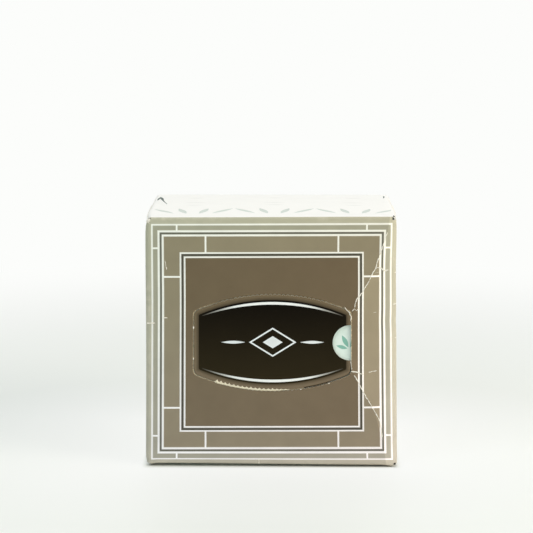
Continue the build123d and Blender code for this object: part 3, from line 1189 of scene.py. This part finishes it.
def makeFilmPack():
    v = filmPack
    low, high = (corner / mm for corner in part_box("tissue_pack"))
    low += Vector((v["lap"], 0, 0))
    high -= Vector((v["lap"], v["lap"], 0))
    middle, size = (low + high) / 2, high - low
    bm = bmesh.new()
    bmesh.ops.create_cube(bm, size=1.0)
    for vert in bm.verts:
        for i in range(3):
            vert.co[i] = low[i] + (vert.co[i] + 0.5) * size[i]
    rounding = {"offset": v["edge"], "offset_type": "OFFSET", "segments": 5, "profile": 0.5}
    bmesh.ops.bevel(bm, geom=bm.edges[:], affect="EDGES", material=-1, **rounding)
    for axis in range(3):
        room = size[axis] - 2 * v["edge"]
        count = int(room / v["grid"])
        for i in range(1, count):
            cutAcross(bm, low[axis] + v["edge"] + room * i / count, axis)
    bm.normal_update()
    for vert in bm.verts:  # slack film sinks between the tissue edges
        crease = abs(noise.noise(Vector((vert.co.x * 0.07, vert.co.y * 0.05, vert.co.z * 0.07)))) ** 0.6
        vert.co -= vert.normal * v["slack"] * (0.2 + crease)
        vert.co.y += pushBack(vert.co)
    for face in bm.faces:
        face.smooth = True

    # fin seal down the back, crimped in fine ribs, and the folded ends
    sheets = [bmesh.ops.create_grid(bm, x_segments=60, y_segments=6, size=1.0)["verts"]]
    for vert in sheets[0]:
        rib = 0.05 * math.sin(vert.co.y * 9)
        x, z = vert.co.x * (high.x - v["edge"]), vert.co.y * v["finWidth"] / 2
        vert.co = Vector((x, high.y + v["lap"] - 0.1 + rib, middle.z + z))
    halfY, halfZ = size.y / 2 - v["foldInset"], size.z / 2 - v["edge"]
    for side in (-1, 1):
        for up in (-1, 1):
            flap = bmesh.ops.create_grid(bm, x_segments=12, y_segments=12, size=1.0)["verts"]
            for vert in flap:
                share = (vert.co.y + 1) / 2
                width = halfY + (v["foldTip"] / 2 - halfY) * share
                z = middle.z + up * (halfZ - share * (halfZ + v["foldLap"] / 2))
                x = side * (high.x + v["lap"] - 0.12 * (up > 0) + 0.05 * math.sin(vert.co.x * 7 + share * 5))
                vert.co = Vector((x, middle.y + vert.co.x * width, z))
            sheets.append(flap)
    faces = []
    for sheet in sheets:
        faces += list({face for vert in sheet for face in vert.link_faces})
    bmesh.ops.solidify(bm, geom=faces, thickness=0.06)
    bmesh.ops.recalc_face_normals(bm, faces=bm.faces)
    bmesh.ops.scale(bm, verts=bm.verts, vec=(mm, mm, mm))
    piece = newPiece("filmPack", bm, [makeFilm()])
    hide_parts("tissue_pack")
    return piece


makeFilmPack()
print("film pack sealed")


# Studio: a plain pale floor that runs up behind, and soft light. Metres
studio = {
    "camera": (0.0046, -1.0, 0.2404),
    "pitch": 0.15546,
    "yaw": -0.0071,
    "focal": 2195.0,  # pixels, in an image 533 wide
    "imageWidth": 533,
    "sensor": 36.0,
    "sweep": (4.0, 1.6, 0.8, 3.0),  # half width, where it turns up, radius of the turn, height above it
    "floor": ("#F1F3EE", 0.5, 0.3),  # colour, roughness and sheen
    "brightness": "#FCFDFB",  # the sweep's own, which only the camera and reflections see
    "glow": (0.8, 0.1),  # how much of it there is beside the object, and 100 mm off
    "glowReach": 0.1,
    "footprint": (0.0553, 0.0437, 0.0),  # half of what the object stands on
    "contact": (0.0005, 0.003),  # beside that, where the glow begins and where it is whole
    "background": (0.12, 0.55),  # from the middle, where the sweep turns to even white
    "world": (0.36, "#F6FDFF"),
    "lamps": [  # name, place, size, watts, colour
        ("overhead", (0.0, 0.1, 1.3), (1.6, 1.4), 7.4, "#FFFFFF"),
        ("highLeft", (-0.75, -0.85, 1.15), (0.9, 0.7), 4.8, "#F6FDFF"),
        ("highRight", (0.75, -0.75, 1.05), (0.9, 0.7), 2.8, "#FFFCF4"),
        ("right", (0.9, -0.5, 0.45), (0.6, 0.8), 5.0, "#FFF5EB"),
    ],
    "aim": (0, 0, 0.05),
}


def makeSweepPaper():
    v = studio
    material, shader, add = newMaterial("white paper sweep")
    code, rough, sheen = v["floor"]
    fillInputs(shader, {"Base Color": hexColour(code), "Roughness": rough, "Specular IOR Level": sheen})
    place = add("TexCoord").outputs["Object"]
    outside = add("VectorMath SUBTRACT", [add("VectorMath ABSOLUTE", [place]), v["footprint"]])
    outside = add("VectorMath MAXIMUM", [outside, (0.0, 0.0, 0.0)])
    beside = add("VectorMath LENGTH", [outside]).outputs[1]
    near = add("MapRange", [beside, 0.0, v["glowReach"], *v["glow"]])
    near = add("Math MULTIPLY", [near, add("MapRange", [beside, *v["contact"]])])
    distance = add("VectorMath LENGTH", [place]).outputs[1]
    far = add("MapRange", [distance, *v["background"]], interpolation_type="SMOOTHSTEP")
    path = add("LightPath")
    seen = add("Math MAXIMUM", [path.outputs["Is Camera Ray"], path.outputs["Is Glossy Ray"]])
    share = add("Math MULTIPLY", [add("Math MAXIMUM", [near, far]), seen])
    glow = add("Emission", {"Color": hexColour(v["brightness"]), "Strength": 1.0})
    seen = add("MixShader", [share, shader, glow])
    fillInputs(material.node_tree.nodes["Material Output"], {"Surface": seen})
    return material


def makeStudio():
    v = studio
    size, back, radius, rise = v["sweep"]
    bm = bmesh.new()
    bmesh.ops.create_grid(bm, x_segments=1, y_segments=1, size=size)
    edge = next(edge for edge in bm.edges if all(vert.co.y > 0 for vert in edge.verts))
    for vert in edge.verts:
        vert.co.y = back
    turn = {"cent": (0, back, radius), "axis": (1, 0, 0), "angle": quarter, "steps": 16}
    bmesh.ops.spin(bm, geom=[edge, *edge.verts], **turn)
    top = [edge for edge in bm.edges if all(vert.co.z > radius - 0.01 for vert in edge.verts)]
    moveGrown(bm, bmesh.ops.extrude_edge_only(bm, edges=top), (0, 0, rise))
    bmesh.ops.remove_doubles(bm, verts=bm.verts, dist=1e-5)
    smoothSkin(bm)
    bmesh.ops.translate(bm, verts=bm.verts, vec=(0, 0, -0.0001))
    sweep = newObject("sweep", newMesh("sweep", bm))
    sweep.data.materials.append(makeSweepPaper())

    world = bpy.data.worlds.new("studio")
    bpy.context.scene.world = world
    world.use_nodes = True
    strength, code = v["world"]
    fillInputs(world.node_tree.nodes["Background"], {"Color": hexColour(code), "Strength": strength})

    for name, place, size, power, code in v["lamps"]:
        light = bpy.data.lights.new(name, "AREA")
        light.shape, light.size, light.size_y = "RECTANGLE", *size
        light.energy = power
        light.color = hexColour(code)[:3]
        lamp = newObject(name, light)
        lamp.location = place
        lamp.rotation_euler = (Vector(v["aim"]) - Vector(place)).to_track_quat("-Z", "Y").to_euler()


def makeCamera():
    v = studio
    camera = newObject("camera", bpy.data.cameras.new("camera"))
    camera.data.sensor_width = v["sensor"]
    camera.data.lens = v["focal"] * v["sensor"] / v["imageWidth"]
    camera.data.clip_end = 50.0
    camera.location = v["camera"]
    camera.rotation_euler = Euler((quarter - v["pitch"], 0, -v["yaw"]))
    bpy.context.scene.camera = camera


makeStudio()
makeCamera()
bpy.context.scene.view_settings.view_transform = "Standard"
print("studio set")
